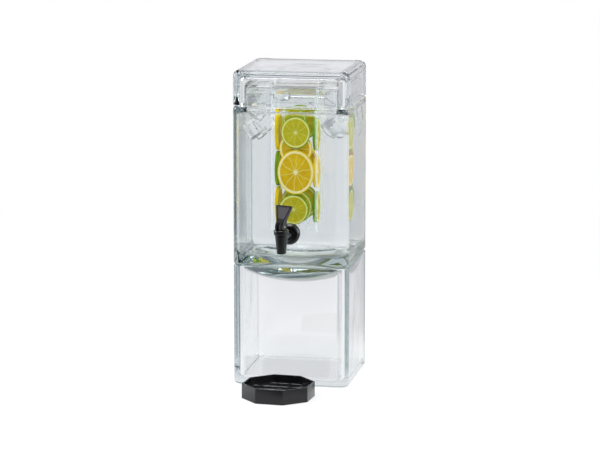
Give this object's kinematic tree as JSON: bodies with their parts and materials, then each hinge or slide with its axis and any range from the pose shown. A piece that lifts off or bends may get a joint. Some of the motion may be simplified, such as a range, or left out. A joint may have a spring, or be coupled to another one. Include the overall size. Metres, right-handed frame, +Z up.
{
  "type": "drink dispenser",
  "caption": "Square glass drink tower: open glass stand, glass jar with a front tap, hanging fruit infusion chamber, glass lid and a loose octagonal drip tray.",
  "frame": {"origin": "centre of the glass stand's underside, on the table", "axes": "+Z up, front with the tap towards -Y, +X to the right seen from the front"},
  "size_m": [0.178, 0.3016, 0.4815],
  "materials": {
    "glass": "clear thick pressed glass with a faint green-blue tint, polished",
    "clear_plastic": "clear moulded plastic, polished",
    "black_plastic": "black moulded plastic, satin gloss",
    "tray_plastic": "black moulded plastic, semi-gloss",
    "black_rubber": "matt black rubber",
    "silicone": "milky silicone",
    "stem_plastic": "black plastic",
    "steel": "stainless wire and pin",
    "lemon": "wet lemon slices",
    "lime": "wet lime slices"
  },
  "bodies": {
    "stand": {"base_box": "glass"},
    "jar": {"vessel": "glass", "faucet_body": "black_plastic", "outer_washer": "black_rubber", "inner_washer": "black_rubber", "shank_nut": "black_plastic", "bonnet": "black_plastic", "bonnet_seal": "black_rubber", "stem_spring": "steel"},
    "cup": {"seat_cup": "silicone"},
    "stem": {"valve_stem": "stem_plastic"},
    "handle": {"handle": "black_plastic", "handle_pin": "steel"},
    "infuser": {"infusion_tube": "clear_plastic", "infusion_collar": "clear_plastic", "infusion_floor": "clear_plastic", "lemon_slices": "lemon", "lime_slices": "lime"},
    "lid": {"lid": "glass"},
    "tray": {"drip_tray": "tray_plastic"},
    "grate": {"drip_grate": "tray_plastic"}
  },
  "joints": [
    {"name": "jar_lift", "type": "slide", "parent": "stand", "child": "jar", "axis": [0, 0, 1], "range_m": [0, 0.25]},
    {"name": "infuser_lift", "type": "slide", "parent": "jar", "child": "infuser", "axis": [0, 0, 1], "range_m": [0, 0.26]},
    {"name": "lid_lift", "type": "slide", "parent": "infuser", "child": "lid", "axis": [0, 0, 1], "range_m": [0, 0.12]},
    {"name": "cup_lift", "type": "slide", "parent": "jar", "child": "cup", "axis": [0, 0, 1], "range_m": [0, 0.0025], "stiffness_N_per_m": 800, "springref_m": -0.003, "deforming": ["stem_spring"]},
    {"name": "stem_turn", "type": "hinge", "parent": "cup", "child": "stem", "pos_m": [0, -0.155, 0.236], "axis": [0, 0, 1], "continuous": true},
    {"name": "handle_tilt", "type": "hinge", "parent": "stem", "child": "handle", "pos_m": [0, -0.155, 0.2585], "axis": [0.9135, -0.4067, 0], "range_deg": [0, 40]},
    {"name": "tray_slide", "type": "slide", "parent": "stand", "child": "tray", "axis": [0, -1, 0], "range_m": [0, 0.12]},
    {"name": "grate_lift", "type": "slide", "parent": "tray", "child": "grate", "axis": [0, 0, 1], "range_m": [0, 0.08]}
  ],
  "couplings": [
    {"joint": "handle_tilt", "follows": "cup_lift", "rad_per_m": 279.25}
  ]
}
